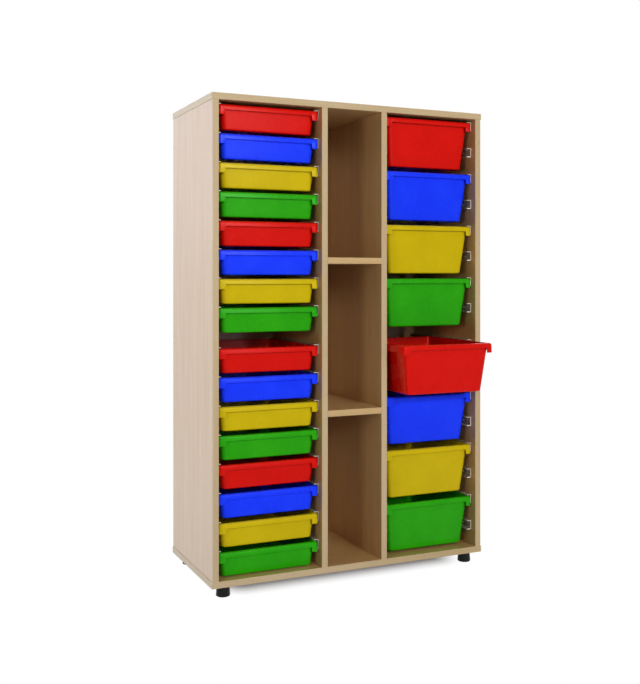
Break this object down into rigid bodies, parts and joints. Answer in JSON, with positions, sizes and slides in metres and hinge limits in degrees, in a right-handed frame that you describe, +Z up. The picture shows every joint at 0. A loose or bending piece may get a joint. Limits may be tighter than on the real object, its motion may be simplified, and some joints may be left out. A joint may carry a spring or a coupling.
{
  "type": "classroom tray storage unit",
  "caption": "Tall school storage cabinet in beech-effect board on round feet, with sliding plastic trays on channel runners either side of a column of open compartments.",
  "frame": {"origin": "on the floor under the middle of the part, its pulled-out tray included", "axes": "+Z up, +X to the right as seen from the front, front towards -Y; trays slide out along -Y"},
  "size_m": [0.9, 0.503, 1.432],
  "materials": {
    "beech_board": "satin melamine with a faint beech grain",
    "edging": "satin edging strip with a beech print",
    "runner": "cream extruded plastic",
    "foot": "satin black",
    "tray_red": "glossy moulded",
    "tray_blue": "glossy moulded",
    "tray_yellow": "glossy moulded",
    "tray_green": "glossy moulded"
  },
  "bodies": {
    "carcass": {"left_side": "beech_board", "left_partition": "beech_board", "right_partition": "beech_board", "right_side": "beech_board", "top_board": "beech_board", "bottom_board": "beech_board", "upper_shelf": "beech_board", "lower_shelf": "beech_board", "back_panel": "beech_board", "left_side_edging": "edging", "left_partition_edging": "edging", "right_partition_edging": "edging", "right_side_edging": "edging", "top_front_edging": "edging", "top_left_edging": "edging", "top_right_edging": "edging", "bottom_front_edging": "edging", "bottom_left_edging": "edging", "bottom_right_edging": "edging", "upper_shelf_edging": "edging", "lower_shelf_edging": "edging", "front_left_foot": "foot", "front_right_foot": "foot", "rear_left_foot": "foot", "rear_right_foot": "foot"},
    "shallow_tray_01": {"shallow_tray_01": "tray_red"},
    "shallow_tray_02": {"shallow_tray_02": "tray_blue"},
    "shallow_tray_03": {"shallow_tray_03": "tray_yellow"},
    "shallow_tray_04": {"shallow_tray_04": "tray_green"},
    "shallow_tray_05": {"shallow_tray_05": "tray_red"},
    "shallow_tray_06": {"shallow_tray_06": "tray_blue"},
    "shallow_tray_07": {"shallow_tray_07": "tray_yellow"},
    "shallow_tray_08": {"shallow_tray_08": "tray_green"},
    "shallow_tray_09": {"shallow_tray_09": "tray_red"},
    "shallow_tray_10": {"shallow_tray_10": "tray_blue"},
    "shallow_tray_11": {"shallow_tray_11": "tray_yellow"},
    "shallow_tray_12": {"shallow_tray_12": "tray_green"},
    "shallow_tray_13": {"shallow_tray_13": "tray_red"},
    "shallow_tray_14": {"shallow_tray_14": "tray_blue"},
    "shallow_tray_15": {"shallow_tray_15": "tray_yellow"},
    "shallow_tray_16": {"shallow_tray_16": "tray_green"},
    "deep_tray_1": {"deep_tray_1": "tray_red"},
    "deep_tray_2": {"deep_tray_2": "tray_blue"},
    "deep_tray_3": {"deep_tray_3": "tray_yellow"},
    "deep_tray_4": {"deep_tray_4": "tray_green"},
    "deep_tray_5": {"deep_tray_5": "tray_red"},
    "deep_tray_6": {"deep_tray_6": "tray_blue"},
    "deep_tray_7": {"deep_tray_7": "tray_yellow"},
    "deep_tray_8": {"deep_tray_8": "tray_green"}
  },
  "joints": [
    {"name": "shallow_tray_01_slide", "type": "slide", "parent": "carcass", "child": "shallow_tray_01", "axis": [0, -1, 0], "range_m": [0, 0.3]},
    {"name": "shallow_tray_02_slide", "type": "slide", "parent": "carcass", "child": "shallow_tray_02", "axis": [0, -1, 0], "range_m": [0, 0.3]},
    {"name": "shallow_tray_03_slide", "type": "slide", "parent": "carcass", "child": "shallow_tray_03", "axis": [0, -1, 0], "range_m": [0, 0.3]},
    {"name": "shallow_tray_04_slide", "type": "slide", "parent": "carcass", "child": "shallow_tray_04", "axis": [0, -1, 0], "range_m": [0, 0.3]},
    {"name": "shallow_tray_05_slide", "type": "slide", "parent": "carcass", "child": "shallow_tray_05", "axis": [0, -1, 0], "range_m": [0, 0.3]},
    {"name": "shallow_tray_06_slide", "type": "slide", "parent": "carcass", "child": "shallow_tray_06", "axis": [0, -1, 0], "range_m": [0, 0.3]},
    {"name": "shallow_tray_07_slide", "type": "slide", "parent": "carcass", "child": "shallow_tray_07", "axis": [0, -1, 0], "range_m": [0, 0.3]},
    {"name": "shallow_tray_08_slide", "type": "slide", "parent": "carcass", "child": "shallow_tray_08", "axis": [0, -1, 0], "range_m": [0, 0.3]},
    {"name": "shallow_tray_09_slide", "type": "slide", "parent": "carcass", "child": "shallow_tray_09", "axis": [0, -1, 0], "range_m": [0, 0.3]},
    {"name": "shallow_tray_10_slide", "type": "slide", "parent": "carcass", "child": "shallow_tray_10", "axis": [0, -1, 0], "range_m": [0, 0.3]},
    {"name": "shallow_tray_11_slide", "type": "slide", "parent": "carcass", "child": "shallow_tray_11", "axis": [0, -1, 0], "range_m": [0, 0.3]},
    {"name": "shallow_tray_12_slide", "type": "slide", "parent": "carcass", "child": "shallow_tray_12", "axis": [0, -1, 0], "range_m": [0, 0.3]},
    {"name": "shallow_tray_13_slide", "type": "slide", "parent": "carcass", "child": "shallow_tray_13", "axis": [0, -1, 0], "range_m": [0, 0.3]},
    {"name": "shallow_tray_14_slide", "type": "slide", "parent": "carcass", "child": "shallow_tray_14", "axis": [0, -1, 0], "range_m": [0, 0.3]},
    {"name": "shallow_tray_15_slide", "type": "slide", "parent": "carcass", "child": "shallow_tray_15", "axis": [0, -1, 0], "range_m": [0, 0.3]},
    {"name": "shallow_tray_16_slide", "type": "slide", "parent": "carcass", "child": "shallow_tray_16", "axis": [0, -1, 0], "range_m": [0, 0.3]},
    {"name": "deep_tray_1_slide", "type": "slide", "parent": "carcass", "child": "deep_tray_1", "axis": [0, -1, 0], "range_m": [0, 0.3]},
    {"name": "deep_tray_2_slide", "type": "slide", "parent": "carcass", "child": "deep_tray_2", "axis": [0, -1, 0], "range_m": [0, 0.3]},
    {"name": "deep_tray_3_slide", "type": "slide", "parent": "carcass", "child": "deep_tray_3", "axis": [0, -1, 0], "range_m": [0, 0.3]},
    {"name": "deep_tray_4_slide", "type": "slide", "parent": "carcass", "child": "deep_tray_4", "axis": [0, -1, 0], "range_m": [0, 0.3]},
    {"name": "deep_tray_5_slide", "type": "slide", "parent": "carcass", "child": "deep_tray_5", "axis": [0, -1, 0], "range_m": [-0.118, 0.182]},
    {"name": "deep_tray_6_slide", "type": "slide", "parent": "carcass", "child": "deep_tray_6", "axis": [0, -1, 0], "range_m": [0, 0.3]},
    {"name": "deep_tray_7_slide", "type": "slide", "parent": "carcass", "child": "deep_tray_7", "axis": [0, -1, 0], "range_m": [0, 0.3]},
    {"name": "deep_tray_8_slide", "type": "slide", "parent": "carcass", "child": "deep_tray_8", "axis": [0, -1, 0], "range_m": [0, 0.3]}
  ]
}
